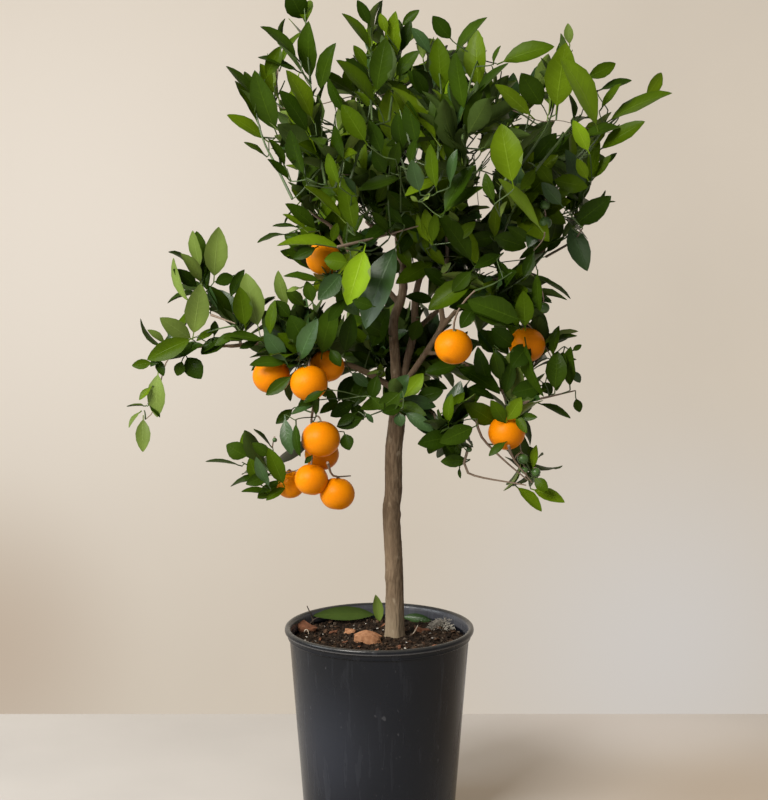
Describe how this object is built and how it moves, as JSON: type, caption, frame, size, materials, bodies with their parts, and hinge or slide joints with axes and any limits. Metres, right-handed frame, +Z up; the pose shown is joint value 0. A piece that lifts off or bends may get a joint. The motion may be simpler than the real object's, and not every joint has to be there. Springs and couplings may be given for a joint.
{
  "type": "calamondin orange tree in a nursery pot",
  "caption": "Small potted citrus tree: slender trunk, forked leaders, an open rounded crown of leaves with small orange fruit, in a black pot with a rolled lip",
  "frame": {"origin": "centre of the flat underside of the pot", "axes": "+Z up along the pot's axis, +X towards the crown's own furthest tip on the right, -Y towards the picture's camera"},
  "size_m": [0.559, 0.402, 0.868],
  "materials": {
    "pot": "satin black, scuffed",
    "soil": "moist crumbs",
    "bark": "fine rough bark",
    "leaves": "glossy leaves",
    "fruit": "dimpled waxy peel"
  },
  "bodies": {
    "root": {"bough_back_left": "bark", "bough_back_right": "bark", "bough_left_arm": "bark", "bough_left_arm_outer": "bark", "bough_left_lower": "bark", "bough_left_upper": "bark", "bough_right_lower": "bark", "bough_right_upper": "bark", "bough_skirt": "bark", "foliage_arm_middle": "leaves", "foliage_arm_tip": "leaves", "foliage_arm_upper": "leaves", "foliage_back_left": "leaves", "foliage_back_low_left": "leaves", "foliage_back_low_right": "leaves", "foliage_back_right": "leaves", "foliage_back_skirt": "leaves", "foliage_fork_front": "leaves", "foliage_front_left": "leaves", "foliage_front_low_left": "leaves", "foliage_front_right": "leaves", "foliage_fruit_left": "leaves", "foliage_heart_left": "leaves", "foliage_heart_right": "leaves", "foliage_left_foot": "leaves", "foliage_left_low": "leaves", "foliage_left_shoulder": "leaves", "foliage_right_dome": "leaves", "foliage_right_foot": "leaves", "foliage_right_inner": "leaves", "foliage_right_low": "leaves", "foliage_right_middle": "leaves", "foliage_right_outer": "leaves", "foliage_right_shoulder": "leaves", "foliage_right_tip": "leaves", "foliage_skirt": "leaves", "foliage_top": "leaves", "foliage_top_left": "leaves", "foliage_top_middle": "leaves", "foliage_top_right": "leaves", "foliage_weeping_tip": "leaves", "leader_left": "bark", "leader_middle": "bark", "leader_right": "bark", "pot": "pot", "soil": "soil", "trunk": "bark"}
  },
  "joints": []
}
